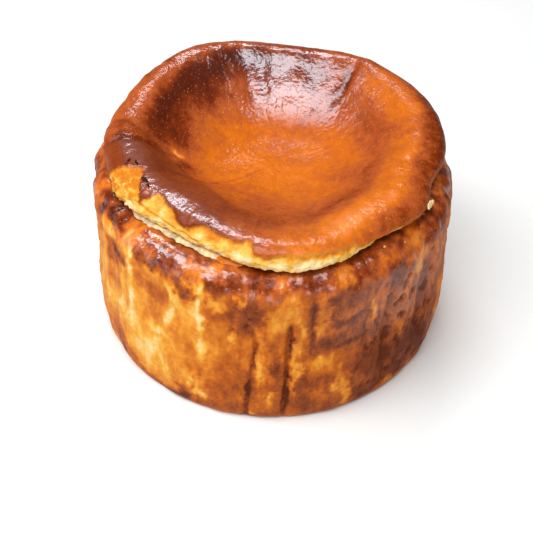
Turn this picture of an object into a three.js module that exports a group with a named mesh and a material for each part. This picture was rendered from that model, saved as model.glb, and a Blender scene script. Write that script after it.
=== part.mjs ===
// A whole basque cheesecake: a tall round cake baked in creased paper, with a
// burnt cap that has lifted off the shoulder at its edge and sunk in the middle.
// Millimetres, +Z up. The origin is the centre of the base, z = 0 is the base.
// Angles are in degrees round the cake: 0 is +X, 90 is +Y, and -90 is the front.

import * as THREE from "three";
import { ParametricGeometry } from "three/addons/geometries/ParametricGeometry.js";

// ---------------------------------------------------------------- driving sizes

const WALL_RADIUS = 74.6; // the 15 cm tin, less its paper
const FOOT_ROUND = 2.5; // small rounding where the wall meets the base
const FOOT_TUCK = 0.9; // how far the wall draws in at the base
const FOOT_TUCK_HEIGHT = 10;
const BELLY = { height: 22, spread: 17, depth: 1.3 }; // the wall's slight bulge

const SHOULDER_HEIGHT = 76.6; // top of the wall, under the cap's edge
const SHOULDER_ROUND = 11; // how far down the shoulder's rounding starts
const SHOULDER_INSET = 9.5; // how far in it ends

const CRACK_RADIUS = 57; // how far in the crack under the cap reaches
const CRACK_FLOOR = 73.5;
const CRACK_ROOF = 76.5;
const CRACK_HOLLOW = 1; // how far the crack's end is rounded inwards

const LIP_RADIUS = 70; // outermost edge of the cap, before its bulges and dents
const LIP_HEIGHT = 79; // lower edge of the cap
const LIP_FACE = 2.5; // height of the lip's turned-under lower part
const LIP_TURN = 2; // how far that part draws in below
const CREST_HEIGHT = 88; // top of the rolled rim
const CREST_INSET = 8; // from the lip in to the rim's highest line
const ROLL_POWER = 2.2; // a round roll is 2, a squarer one is more

const HOLLOW_CENTRE = { x: 2, y: 13, z: 65 }; // deepest point of the sunk top
const HOLLOW_FLAT = 3; // how far out the floor of the hollow stays flat
const HOLLOW_EASE = 2; // how softly its side turns over into the rim

// ---------------------------------------------------------------- unevenness
// Each row is [angle, half width in degrees, amount in mm].

const WALL_BULGES = [[190, 34, -0.4], [355, 34, 0.4], [100, 26, 0.5], [305, 16, -0.4]];
const SHOULDER_BULGES = [[163, 24, 2.2], [0, 30, 0.8], [272, 22, -1.6], [236, 22, 1.0]];
const ROUND_BULGES = [[172, 24, -3]]; // where the shoulder's rounding is smaller
// Where the cap's edge hangs lower or lies higher over the shoulder.
const DROP_BULGES = [[85, 62, -0.8], [160, 26, 1.4], [200, 14, -1.2], [272, 22, -2.6]];
const LIP_BULGES = [
  [23, 19, 3.5], [55, 20, 2.8], [120, 27, 4.8], [191, 8, -1.9],
  [237, 29, -7], [309, 15, -4.1], [344, 11, -4.1],
];
const CREST_BULGES = [[48, 43, 3.7], [119, 28, 5.3], [166, 13, -2], [276, 53, -2], [219, 37, 0.6]];
const INSET_BULGES = [[5, 30, 3.2], [192, 15, 3.6], [219, 27, 3.3], [322, 30, 5]];
const FLAT_BULGES = [[187, 20, 2.5], [270, 40, -0.4]];
const EASE_BULGES = [[187, 22, 0.6], [240, 30, 0.2]];

// The puffs of the shoulder: [how many round the cake, phase in degrees, height in mm].
const SHOULDER_PUFFS = [[13, 20, 0.4], [21, 75, 0.25]];

// Creases that the paper left down the wall:
// [angle at mid height, half width, depth (in is negative), from z, to z, lean in degrees].
const CREASES = [
  [-150, 3.4, -0.8, 0, 74, 0], [-138, 2.2, 0.8, 38, 74, 1], [-128, 4, -0.6, 0, 60, 0],
  [-124.5, 2.2, 0.8, 40, 64, 8], [-111, 2.2, 0.8, 30, 74, -0.4], [-105, 3.2, 0.5, 0, 74, 0],
  [-94.5, 2, -1.2, 2, 48, 2.6], [-90, 2.2, 0.6, 5, 60, 0], [-84.2, 2.2, -2.2, 3, 57, 0.9],
  [-77.2, 2, -1.2, 42, 66, 0.6], [-70, 3, 0.6, 0, 50, 0], [-60, 2.2, -1, 36, 60, 0],
  [-52, 2.6, -0.8, 10, 60, 3], [-45, 2.4, 0.7, 30, 72, 3], [-37, 2.6, -0.8, 20, 74, 3],
  [-29, 3, 0.7, 0, 74, 2],
];
// Round the rest of the wall the creases follow a rule, out of the same range of sizes.
const REST_CREASES = { first: -16, step: 9.7, count: 22, jitter: 5, width: 2.6, depth: 1.5 };

// Folds in the side of the hollow: [angle, half width, depth, from, to], where from
// and to say how far out the fold runs: 0 is the deepest point and 1 is the rim.
const FOLDS = [[105, 4, 1, 0.6, 0.98], [94, 3.4, 0.5, 0.7, 0.95], [55, 3.4, 1.7, 0.7, 0.98]];

// ---------------------------------------------------------------- mesh density

const COLUMNS = 108;
const FRONT_CROWDING = 0.3; // columns stand closer together where the creases are finest
const FRONT = -90;

// ---------------------------------------------------------------- helpers

// Signed difference of two angles, in -180..180.
function turnFrom(angle, centre) {
  return ((((angle - centre + 180) % 360) + 360) % 360) - 180;
}

// A smooth bump of height 1 round a centre.
function bump(distance, halfWidth) {
  return Math.exp(-((distance / halfWidth) ** 2));
}

// A base value with bulges added to it.
function bulged(base, bulges, angle) {
  let value = base;
  for (const [centre, halfWidth, amount] of bulges) {
    value += amount * bump(turnFrom(angle, centre), halfWidth);
  }
  return value;
}

// 0 below low, 1 above high, smooth between.
function ramp(value, low, high) {
  return THREE.MathUtils.smoothstep(value, low, high);
}

// A repeatable fraction for crease number n.
function fraction(n, key) {
  const wave = Math.sin(n * 12.9898 + key * 4.1414) * 437.585;
  return wave - Math.floor(wave);
}

function restCreases() {
  const rows = [];
  for (let n = 0; n < REST_CREASES.count; n += 1) {
    const angle = REST_CREASES.first + n * REST_CREASES.step
      + REST_CREASES.jitter * (fraction(n, 1) - 0.5);
    const halfWidth = REST_CREASES.width * (0.8 + 0.5 * fraction(n, 2));
    const side = fraction(n, 3) > 0.55 ? 0.6 : -1;
    const depth = side * REST_CREASES.depth * (0.35 + 0.65 * fraction(n, 4) ** 2);
    const from = fraction(n, 5) > 0.5 ? 40 * fraction(n, 6) : 0;
    const to = fraction(n, 7) > 0.6 ? 46 + 22 * fraction(n, 8) : 74;
    rows.push([angle, halfWidth, depth, from, to, 3 * (fraction(n, 9) - 0.5)]);
  }
  return rows;
}

const ALL_CREASES = [...CREASES, ...restCreases()];

// ---------------------------------------------------------------- the cake's outlines

function creaseDepth(angle, z) {
  const soft = 6;
  const middle = SHOULDER_HEIGHT / 2;
  let depth = 0;
  for (const [centre, halfWidth, amount, from, to, lean] of ALL_CREASES) {
    const turn = turnFrom(angle, centre + lean * (z - middle) / middle);
    const along = ramp(z, from - soft, from + soft) * (1 - ramp(z, to - soft, to + soft));
    depth += amount * bump(turn, halfWidth) * along;
  }
  return depth;
}

function wallRadius(angle, z) {
  const belly = BELLY.depth * bump(z - BELLY.height, BELLY.spread);
  const tuck = FOOT_TUCK * Math.max(0, 1 - z / FOOT_TUCK_HEIGHT);
  const height = bump(z - SHOULDER_HEIGHT / 2, SHOULDER_HEIGHT / 2);
  return WALL_RADIUS + belly - tuck + bulged(0, WALL_BULGES, angle) * height + creaseDepth(angle, z);
}

function shoulderHeight(angle) {
  let height = bulged(SHOULDER_HEIGHT, SHOULDER_BULGES, angle);
  for (const [count, phase, amount] of SHOULDER_PUFFS) {
    height += amount * Math.sin(THREE.MathUtils.degToRad(count * angle + phase));
  }
  return height;
}

const shoulderRound = (angle) => bulged(SHOULDER_ROUND, ROUND_BULGES, angle);
const shoulderInset = (angle) => bulged(SHOULDER_INSET, ROUND_BULGES, angle);
const lipHeight = (angle) => bulged(LIP_HEIGHT, DROP_BULGES, angle);
const lipRadius = (angle) => bulged(LIP_RADIUS, LIP_BULGES, angle);
const crestHeight = (angle) => bulged(CREST_HEIGHT, CREST_BULGES, angle);
const crestRadius = (angle) => lipRadius(angle) - bulged(CREST_INSET, INSET_BULGES, angle);

// ---------------------------------------------------------------- the profile, in stretches
// Each stretch gives the radius and height at an angle, for t from 0 to 1 along it.

function base(angle, t) {
  return [(wallRadius(angle, 0) - FOOT_ROUND) * t, 0];
}

function foot(angle, t) {
  const turn = t * Math.PI / 2;
  const radius = wallRadius(angle, 0) - FOOT_ROUND * (1 - Math.sin(turn));
  return [radius, FOOT_ROUND * (1 - Math.cos(turn))];
}

function wall(angle, t) {
  const z = THREE.MathUtils.lerp(FOOT_ROUND, shoulderHeight(angle) - shoulderRound(angle), t);
  return [wallRadius(angle, z), z];
}

function shoulder(angle, t) {
  const turn = t * Math.PI / 2;
  const height = shoulderRound(angle);
  const start = shoulderHeight(angle) - height;
  const radius = wallRadius(angle, start) - shoulderInset(angle) * (1 - Math.cos(turn));
  return [radius, start + height * Math.sin(turn)];
}

function ledge(angle, t) {
  const [outer, top] = shoulder(angle, 1);
  return [THREE.MathUtils.lerp(outer, CRACK_RADIUS, t), THREE.MathUtils.lerp(top, CRACK_FLOOR, t * t)];
}

function crack(angle, t) {
  const turn = t * Math.PI;
  const middle = (CRACK_FLOOR + CRACK_ROOF) / 2;
  const half = (CRACK_ROOF - CRACK_FLOOR) / 2;
  return [CRACK_RADIUS - CRACK_HOLLOW * Math.sin(turn), middle - half * Math.cos(turn)];
}

function underside(angle, t) {
  const edge = lipRadius(angle) - LIP_TURN;
  const lift = Math.sin(t * Math.PI / 2);
  return [THREE.MathUtils.lerp(CRACK_RADIUS, edge, t), THREE.MathUtils.lerp(CRACK_ROOF, lipHeight(angle), lift)];
}

function lipFace(angle, t) {
  const turn = t * Math.PI / 2;
  const radius = lipRadius(angle) - LIP_TURN * (1 - Math.sin(turn));
  return [radius, lipHeight(angle) + LIP_FACE * (1 - Math.cos(turn))];
}

function roll(angle, t) {
  const turn = t * Math.PI / 2;
  const outward = Math.cos(turn) ** (2 / ROLL_POWER);
  const upward = Math.sin(turn) ** (2 / ROLL_POWER);
  const crest = crestRadius(angle);
  const start = lipHeight(angle) + LIP_FACE;
  return [crest + (lipRadius(angle) - crest) * outward, start + (crestHeight(angle) - start) * upward];
}

function fold(angle, reach) {
  let depth = 0;
  for (const [centre, halfWidth, amount, from, to] of FOLDS) {
    const along = ramp(reach, from - 0.1, from + 0.1) * (1 - ramp(reach, to - 0.1, to + 0.05));
    depth += amount * bump(turnFrom(angle, centre), halfWidth) * along;
  }
  return depth;
}

// The hollow runs from the rim in to its own centre, so it gives a point.
function hollow(angle, t) {
  const turn = THREE.MathUtils.degToRad(angle);
  const crest = crestRadius(angle);
  const reach = 1 - t;
  const flat = bulged(HOLLOW_FLAT, FLAT_BULGES, angle);
  const ease = bulged(HOLLOW_EASE, EASE_BULGES, angle);
  const rise = 1 - (1 - reach ** flat) ** ease;
  return new THREE.Vector3(
    THREE.MathUtils.lerp(HOLLOW_CENTRE.x, crest * Math.cos(turn), reach),
    THREE.MathUtils.lerp(HOLLOW_CENTRE.y, crest * Math.sin(turn), reach),
    THREE.MathUtils.lerp(HOLLOW_CENTRE.z, crestHeight(angle), rise) - fold(angle, reach),
  );
}

// A stretch of [radius, height] turned to a point round the cake's axis.
function turned(stretch) {
  return (angle, t) => {
    const [radius, z] = stretch(angle, t);
    const turn = THREE.MathUtils.degToRad(angle);
    return new THREE.Vector3(radius * Math.cos(turn), radius * Math.sin(turn), z);
  };
}

// From the centre of the base, round the outside, to the centre of the hollow.
const STRETCHES = [
  { at: turned(base), bands: 1 },
  { at: turned(foot), bands: 2 },
  { at: turned(wall), bands: 10 },
  { at: turned(shoulder), bands: 5 },
  { at: turned(ledge), bands: 2 },
  { at: turned(crack), bands: 2 },
  { at: turned(underside), bands: 2 },
  { at: turned(lipFace), bands: 2 },
  { at: turned(roll), bands: 6 },
  { at: hollow, bands: 12 },
];

// ---------------------------------------------------------------- the solid

function profileRows() {
  const rows = [{ at: STRETCHES[0].at, t: 0 }];
  for (const { at, bands } of STRETCHES) {
    for (let band = 1; band <= bands; band += 1) {
      rows.push({ at, t: band / bands });
    }
  }
  return rows;
}

// The angle of a column, for u from 0 to 1 round the cake. The last column is
// the first one again, so that the skin closes exactly.
function columnAngle(u) {
  const round = u === 1 ? 0 : u;
  const crowding = FRONT_CROWDING * Math.sin(2 * Math.PI * round) / (2 * Math.PI);
  return FRONT + 360 * (round - crowding);
}

function cakeGeometry() {
  const rows = profileRows();
  const bands = rows.length - 1;
  const skin = (u, v, target) => {
    const row = rows[Math.round(v * bands)];
    target.copy(row.at(columnAngle(u), row.t));
  };
  const geometry = new ParametricGeometry(skin, COLUMNS, bands);
  geometry.computeBoundingBox();
  const centre = geometry.boundingBox.getCenter(new THREE.Vector3());
  geometry.translate(-centre.x, -centre.y, 0);
  return geometry;
}

const bakedCustard = new THREE.MeshStandardMaterial({ color: "#b4622a", roughness: 0.5, metalness: 0 });

const cheesecake = new THREE.Mesh(cakeGeometry(), bakedCustard);
cheesecake.name = "cheesecake";

const group = new THREE.Group();
group.add(cheesecake);

export default group;
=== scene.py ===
"""A whole basque cheesecake: a burnt, sunken cap with a torn pale edge on a creased, browned side.

Shapes are worked out in millimetres, round the axis of the cake. Angles are in degrees: 0 is +X,
90 is +Y and -90 is the front. The frame gives the box that everything stays in.
"""

import math
from functools import partial

import bpy
import numpy as np
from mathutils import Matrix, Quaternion, Vector


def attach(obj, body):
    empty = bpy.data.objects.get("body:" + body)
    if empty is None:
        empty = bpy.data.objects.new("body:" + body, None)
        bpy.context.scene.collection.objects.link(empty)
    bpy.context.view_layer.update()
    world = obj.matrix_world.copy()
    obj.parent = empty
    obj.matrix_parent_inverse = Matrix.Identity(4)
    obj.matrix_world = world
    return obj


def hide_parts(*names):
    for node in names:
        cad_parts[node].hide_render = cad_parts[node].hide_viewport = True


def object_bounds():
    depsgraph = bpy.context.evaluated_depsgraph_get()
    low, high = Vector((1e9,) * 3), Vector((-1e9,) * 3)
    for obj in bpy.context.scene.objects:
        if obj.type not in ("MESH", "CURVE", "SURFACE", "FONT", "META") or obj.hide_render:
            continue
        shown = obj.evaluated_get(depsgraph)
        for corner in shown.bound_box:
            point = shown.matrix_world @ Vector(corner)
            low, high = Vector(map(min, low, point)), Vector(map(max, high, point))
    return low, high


bl_info = {
    "name": "Basque Cheesecake",
    "version": (1, 0, 0),
    "blender": (4, 5, 0),
    "location": "3D View > Sidebar > Cake",
    "description": "Builds a burnt basque cheesecake with its torn edge, flakes and crumbs",
    "category": "Add Mesh",
}

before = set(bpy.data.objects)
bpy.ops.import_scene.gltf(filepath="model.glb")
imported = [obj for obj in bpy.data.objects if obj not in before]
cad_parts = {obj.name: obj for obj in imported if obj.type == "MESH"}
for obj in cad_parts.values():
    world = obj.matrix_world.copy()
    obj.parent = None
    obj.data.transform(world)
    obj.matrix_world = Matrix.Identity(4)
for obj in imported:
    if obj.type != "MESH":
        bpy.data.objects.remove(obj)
CAD_LOW, CAD_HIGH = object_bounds()
NODE = "cheesecake"
BODY = "root"

MM = 0.001
FRONT = -90.0

# -------- unevenness of the form

# What is added to each size round the cake: rows of (angle, half width in degrees, amount in mm).
BULGES = {
    "wall_radius": ((190, 34, -0.4), (355, 34, 0.4), (100, 26, 0.5), (305, 16, -0.4)),
    "shoulder_height": ((163, 24, 2.2), (0, 30, 0.8), (272, 22, -1.6), (236, 22, 1.0)),
    "shoulder_round": ((172, 24, -3),),
    "shoulder_inset": ((172, 24, -3),),
    "lip_height": ((85, 62, -0.8), (160, 26, 1.4), (200, 14, -1.2), (272, 22, -2.6)),
    "lip_radius": (
        (23, 19, 3.5), (55, 20, 2.8), (120, 27, 4.8), (191, 8, -1.9), (237, 29, -7),
        (309, 15, -4.1), (344, 11, -4.1)),
    "crest_height": ((48, 43, 3.7), (119, 28, 5.3), (166, 13, -2), (276, 53, -2), (219, 37, 0.6)),
    "crest_inset": ((5, 30, 3.2), (192, 15, 3.6), (219, 27, 3.3), (322, 30, 5)),
    "hollow_flat": ((187, 20, 2.5), (270, 40, -0.4)),
    "hollow_ease": ((187, 22, 0.6), (240, 30, 0.2)),
}
FIXED_SIZES = {
    "shoulder_round": 11.0, "shoulder_inset": 9.5, "hollow_flat": 3.0, "hollow_ease": 2.0}
SHOULDER_PUFFS = ((13, 20, 0.4), (21, 75, 0.25))  # (how many, phase in degrees, height)

# Creases down the side: (angle at mid height, half width, depth, from z, to z, lean).
CREASES = (
    (-150, 3.4, -0.8, 0, 74, 0), (-138, 1.5, 0.9, 38, 74, 1), (-128, 4, -0.6, 0, 60, 0),
    (-124.5, 1.5, 0.9, 40, 64, 8), (-111, 1.5, 0.9, 30, 74, -0.4), (-105, 3.2, 0.5, 0, 74, 0),
    (-94.5, 0.8, -1.2, 2, 48, 2.6), (-90, 2.2, 0.6, 5, 60, 0), (-84.2, 0.9, -1.8, 3, 57, 0.9),
    (-77.2, 1.2, -1.3, 42, 66, 0.6), (-70, 3, 0.6, 0, 50, 0), (-60, 1.2, -1.2, 36, 60, 0),
    (-52, 2.0, -0.9, 10, 60, 3), (-45, 2.0, 0.8, 30, 72, 3), (-37, 2.0, -0.9, 20, 74, 3),
    (-29, 2.4, 0.8, 0, 74, 2),
)
REST_CREASES = {"first": -16, "step": 9.7, "count": 22, "jitter": 5, "width": 2.2, "depth": 1.7}
CREASE_SOFT = 6.0  # mm over which a crease starts and ends

# Folds in the side of the hollow: (angle, half width, depth, from, to).
FOLDS = ((105, 4.0, 1.0, 0.6, 0.98), (94, 3.4, 0.5, 0.7, 0.95), (55, 3.4, 1.7, 0.7, 0.98))

FOOT_ROUND, FOOT_TUCK, FOOT_TUCK_HEIGHT = 2.5, 0.9, 10.0
BELLY_HEIGHT, BELLY_SPREAD, BELLY_DEPTH = 22.0, 17.0, 1.3
CRACK_RADIUS, CRACK_FLOOR, CRACK_ROOF, CRACK_HOLLOW = 57.0, 73.5, 76.5, 1.0
LIP_FACE, LIP_TURN = 2.5, 2.0
ROLL_POWER = 2.2
HOLLOW_X, HOLLOW_Y = 2.0, 13.0

# Small forms of the top, along bent lines of (x, y). The pinch is a groove where the left roll
# meets the rim behind it. The roll's inner edge parts its dark skin from the hollow. Dents are
# (x, y, half size, height).
PINCH_PATH = ((-73, -4), (-64, -1), (-57, -1), (-50, 2), (-43, 3), (-37, -3))
PINCH_WIDTH, PINCH_DEPTH = 1.7, 1.6
ROLL_EDGE = (
    (-76, -6), (-64, -1), (-57, -1), (-50, 2), (-43, 3), (-37, -3), (-30, -10), (-24, -21),
    (-19, -31), (-9, -40), (3, -47), (16, -54), (30, -66),
)
ROLL_STEP = 0.4
DENTS = (
    (-40, 9, 2.4, -0.9), (-38, 5, 2.6, 0.5), (50, -27, 1.1, 0.5), (-61, 8, 3.0, 0.6),
    (-66, 4, 1.6, 0.5), (40, 51, 4.5, 0.7), (31, 38, 4.5, -0.6), (46, 8, 4.0, 0.4),
    (-28, -50, 4, 0.5),
)


# -------- what a user would change


def length(name, description, value, low, high=200):
    """A length property whose default and range are given in millimetres."""
    return bpy.props.FloatProperty(
        name=name, description=description, unit="LENGTH",
        default=value * MM, min=low * MM, max=high * MM)


class CakeShape(bpy.types.PropertyGroup):
    """Driving sizes of the cake."""

    wall_radius: length("Side radius", "Radius of the side, between its creases", 74.6, 40)
    shoulder_height: length("Shoulder height", "Top of the side, under the cap's edge", 76.6, 30)
    lip_radius: length("Lip radius", "Outer edge of the cap, before its bulges", 70, 30)
    lip_height: length("Lip height", "Lower edge of the cap", 79, 30)
    crest_height: length("Rim height", "Top of the rolled rim", 88, 30)
    crest_inset: length("Rim inset", "From the lip in to the rim's highest line", 8, 1, 50)
    hollow_floor: length("Hollow floor", "Height of the sunk top's deepest point", 65, 10)
    columns: bpy.props.IntProperty(
        name="Columns", description="Points round the cake", default=550, min=60, max=2000)


def srgb(value):
    """Linear red, green and blue of an sRGB hex value such as "#C86A2A"."""
    parts = [int(value[i:i + 2], 16) / 255 for i in (1, 3, 5)]
    return tuple(p / 12.92 if p <= 0.04045 else ((p + 0.055) / 1.055) ** 2.4 for p in parts)


def hex_colour(name, description, value):
    """A colour property whose default is an sRGB hex value."""
    return bpy.props.FloatVectorProperty(
        name=name, description=description, subtype="COLOR", size=3, min=0, max=1,
        default=srgb(value))


class CakeColours(bpy.types.PropertyGroup):
    """Colours of the baked custard, from pale inside to burnt skin."""

    # Greyer and darker than dried custard alone: partly painted shade for the flap under the lip.
    dried: hex_colour("Dried custard", "The torn flap, dried to grey white", "#B79F7C")
    cream: hex_colour("Cream", "The palest custard, where the cap is torn open", "#EBC88E")
    custard: hex_colour("Custard", "Custard that has only set", "#DFA846")
    honey: hex_colour("Honey", "Torn custard that the heat reached", "#CE7A18")
    gold: hex_colour("Gold", "The least baked part of the side", "#E2A33A")
    amber: hex_colour("Amber", "Lightly browned side", "#D37E24")
    toffee: hex_colour("Toffee", "The side's middle colour", "#B65A15")
    caramel: hex_colour("Caramel", "Browned side", "#8E441C")
    umber: hex_colour("Umber", "The side's darkest patches", "#5E260C")
    top_pale: hex_colour("Top, palest", "A blister that the heat missed", "#EFA24A")
    top_light: hex_colour("Top, light", "The rim at the front right", "#D27030")
    top_floor: hex_colour("Top, floor", "The floor of the hollow", "#C5620C")
    top_mid: hex_colour("Top, middle", "The sides of the hollow", "#A64C1E")
    top_dark: hex_colour("Top, dark", "The back left of the hollow", "#742804")
    burnt: hex_colour("Burnt", "The most burnt skin", "#4E1602")
    roll_skin: hex_colour("Roll skin", "The thick dull skin of the left roll", "#7E3A1C")
    char: hex_colour("Char", "Scorched edges of the tear", "#2A120C")


# -------- working with whole arrays


def turn_from(angle, centre):
    """Signed difference of two angles, in -180 to 180 degrees."""
    return (angle - centre + 180.0) % 360.0 - 180.0


def bump(distance, half_width):
    """A smooth bump of height 1: e to the power of minus (distance / half width) squared."""
    return np.exp(-((distance / half_width) ** 2))


def near(angle, centre, half_width):
    """A smooth bump of height 1 round an angle."""
    return bump(turn_from(angle, centre), half_width)


def bulged(base, bulges, angle):
    """The base value plus each bulge's amount times its bump round the cake."""
    value = np.full_like(angle, base, dtype=float)
    for centre, half_width, amount in bulges:
        value += amount * near(angle, centre, half_width)
    return value


def ramp(value, low, high):
    """0 below low and 1 above high; between them 3t^2 - 2t^3."""
    t = np.clip((value - low) / (high - low), 0.0, 1.0)
    return t * t * (3.0 - 2.0 * t)


def mix(a, b, t):
    """a where t is 0 and b where t is 1."""
    return a + (b - a) * t


def path_distance(x, y, path):
    """Distance to a bent line. On each straight stretch the foot of the perpendicular is kept
    between its two ends, and the nearest stretch counts."""
    best = np.full(x.shape, np.inf)
    for (ax, ay), (bx, by) in zip(path[:-1], path[1:]):
        dx, dy = bx - ax, by - ay
        share = np.clip(((x - ax) * dx + (y - ay) * dy) / (dx * dx + dy * dy), 0, 1)
        best = np.minimum(best, np.hypot(x - ax - share * dx, y - ay - share * dy))
    return best


def lattice_noise(points, seed):
    """Gradient noise, about -1 to 1. Each corner of the unit cube round a point has a random
    direction; its dot product with the way to the point is blended by 6t^5 - 15t^4 + 10t^3."""
    draw = np.random.default_rng(seed)
    order = draw.permutation(256)
    ways = draw.normal(size=(256, 3))
    ways /= np.linalg.norm(ways, axis=1, keepdims=True)
    cell = np.floor(points).astype(int)
    part = points - cell
    ease = part ** 3 * (part * (part * 6.0 - 15.0) + 10.0)
    total = np.zeros(points.shape[:-1])
    for corner in np.ndindex(2, 2, 2):
        offset = np.array(corner)
        at = (cell + offset) & 255
        way = ways[order[(order[(order[at[..., 0]] + at[..., 1]) & 255] + at[..., 2]) & 255]]
        share = np.prod(np.where(offset == 1, ease, 1.0 - ease), axis=-1)
        total += share * np.einsum("...i,...i->...", way, part - offset)
    return total * 1.6


def cloud(points, size, seed, octaves=4, fade=0.5):
    """Layers of gradient noise, each half the size and `fade` the strength of the last. size is
    in millimetres, one number or one for each axis."""
    total = np.zeros(points.shape[:-1])
    weight, reach = 1.0, 0.0
    scaled = points / np.asarray(size, dtype=float)
    for octave in range(octaves):
        total += weight * lattice_noise(scaled * 2.0 ** octave + 17.3 * octave, seed + octave)
        reach += weight
        weight *= fade
    return total / reach


# -------- the cake's outlines


def rest_creases():
    """Creases of the unseen side, by the same rule as the solid's."""
    n = np.arange(REST_CREASES["count"])

    def fraction(key):
        wave = np.sin(n * 12.9898 + key * 4.1414) * 437.585
        return wave - np.floor(wave)

    angle = REST_CREASES["first"] + n * REST_CREASES["step"]
    angle = angle + REST_CREASES["jitter"] * (fraction(1) - 0.5)
    half_width = REST_CREASES["width"] * (0.8 + 0.5 * fraction(2))
    depth = np.where(fraction(3) > 0.55, 0.6, -1.0)
    depth = depth * REST_CREASES["depth"] * (0.35 + 0.65 * fraction(4) ** 2)
    start = np.where(fraction(5) > 0.5, 40 * fraction(6), 0.0)
    end = np.where(fraction(7) > 0.6, 46 + 22 * fraction(8), 74.0)
    return tuple(zip(angle, half_width, depth, start, end, 3 * (fraction(9) - 0.5)))


def turned(angle, radius, z):
    """Points at a radius and height round the axis."""
    turn = np.radians(angle)
    return np.stack(np.broadcast_arrays(radius * np.cos(turn), radius * np.sin(turn), z), axis=-1)


def flared(angle, t, outer, inset, low, height):
    """Quarter ellipse that starts level, `inset` inside the outer radius, and ends upright on it:
    1 less the sine of the turn takes the inset off, and 1 less its cosine adds the height."""
    turn = t * math.pi / 2
    radius = outer - inset * (1 - np.sin(turn))
    return turned(angle, radius, low + height * (1 - np.cos(turn)))


def domed(angle, t, outer, inner, low, rise, power=1):
    """Quarter ellipse that starts upright on the outer radius and ends level on the inner one, by
    the turn's cosine and sine, to a power that is less than 1 for a squarish one."""
    turn = t * math.pi / 2
    outward, upward = np.cos(turn) ** power, np.sin(turn) ** power
    return turned(angle, mix(inner, outer, outward), low + rise * upward)


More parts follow.
